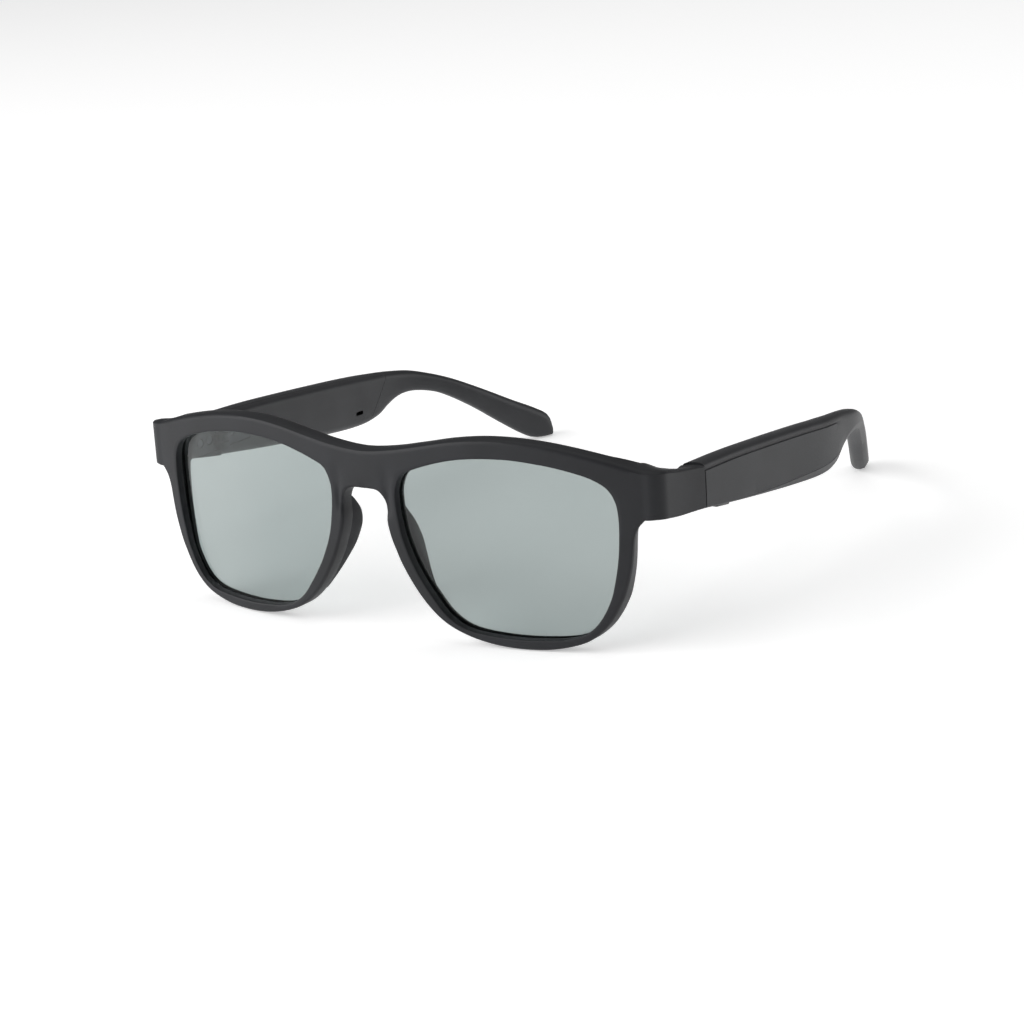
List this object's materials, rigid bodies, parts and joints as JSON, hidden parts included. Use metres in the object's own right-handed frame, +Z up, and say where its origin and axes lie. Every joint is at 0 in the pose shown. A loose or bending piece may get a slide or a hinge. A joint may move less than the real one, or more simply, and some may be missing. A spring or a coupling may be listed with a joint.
{
  "type": "smart glasses",
  "caption": "Wrapped matte spectacle front with tinted lenses and two folding temples whose hollow bodies carry audio electronics, ending in curved ear hooks.",
  "frame": {"origin": "centre of the footprint, on the surface the open glasses stand on", "axes": "+X to the wearer's left, +Y back along the temples, +Z up; the front faces -Y"},
  "size_m": [0.1406, 0.1488, 0.0476],
  "materials": {
    "frame_nylon": "moulded matte charcoal nylon",
    "temple_nylon": "moulded matte charcoal nylon",
    "tinted_lens": "grey-green tinted polycarbonate, polished",
    "soft_pad": "satin charcoal elastomer",
    "hinge_steel": "stainless, tumbled",
    "core_steel": "drawn stainless wire",
    "contact_gold": "gold-plated",
    "magnet_nickel": "nickel-plated",
    "battery_pouch": "laminate pouch",
    "board_laminate": "green solder mask",
    "chip_resin": "moulded epoxy",
    "speaker_body": "moulded, matte",
    "grille_steel": "etched mesh, dark",
    "button_nylon": "moulded matte charcoal"
  },
  "bodies": {
    "front": {"front_frame": "frame_nylon", "left_lens": "tinted_lens", "left_nose_pad": "soft_pad", "left_front_hinge_leaf": "hinge_steel", "left_hinge_pin": "hinge_steel", "left_front_leaf_screw_1": "hinge_steel", "left_front_leaf_screw_2": "hinge_steel", "right_lens": "tinted_lens", "right_nose_pad": "soft_pad", "right_front_hinge_leaf": "hinge_steel", "right_hinge_pin": "hinge_steel", "right_front_leaf_screw_1": "hinge_steel", "right_front_leaf_screw_2": "hinge_steel"},
    "left_temple": {"left_temple_housing": "temple_nylon", "left_temple_inner_cover": "temple_nylon", "left_temple_hinge_leaf": "hinge_steel", "left_temple_leaf_screw_1": "hinge_steel", "left_temple_leaf_screw_2": "hinge_steel", "left_hook_core_wire": "core_steel", "left_battery": "battery_pouch", "left_circuit_board": "board_laminate", "left_radio_module": "chip_resin", "left_microphone": "contact_gold", "left_speaker": "speaker_body", "left_speaker_grille": "grille_steel", "left_button_switch": "chip_resin", "left_charging_contact_1": "contact_gold", "left_charging_contact_2": "contact_gold", "left_charging_magnet_1": "magnet_nickel", "left_charging_magnet_2": "magnet_nickel"},
    "right_temple": {"right_temple_housing": "temple_nylon", "right_temple_inner_cover": "temple_nylon", "right_temple_hinge_leaf": "hinge_steel", "right_temple_leaf_screw_1": "hinge_steel", "right_temple_leaf_screw_2": "hinge_steel", "right_hook_core_wire": "core_steel", "right_battery": "battery_pouch", "right_circuit_board": "board_laminate", "right_radio_module": "chip_resin", "right_microphone": "contact_gold", "right_speaker": "speaker_body", "right_speaker_grille": "grille_steel"},
    "action_button": {"left_action_button": "button_nylon"}
  },
  "joints": [
    {"name": "left_temple_fold", "type": "hinge", "parent": "front", "child": "left_temple", "pos_m": [0.0636, -0.04312, 0.03223], "axis": [0, 0.0333, 0.9994], "range_deg": [0, 87]},
    {"name": "right_temple_fold", "type": "hinge", "parent": "front", "child": "right_temple", "pos_m": [-0.0636, -0.04312, 0.03223], "axis": [0, -0.0333, -0.9994], "range_deg": [0, 77]},
    {"name": "action_button_press", "type": "slide", "parent": "left_temple", "child": "action_button", "axis": [0, 0.1858, 0.9826], "range_m": [0, 0.00035], "stiffness_N_per_m": 3000}
  ]
}
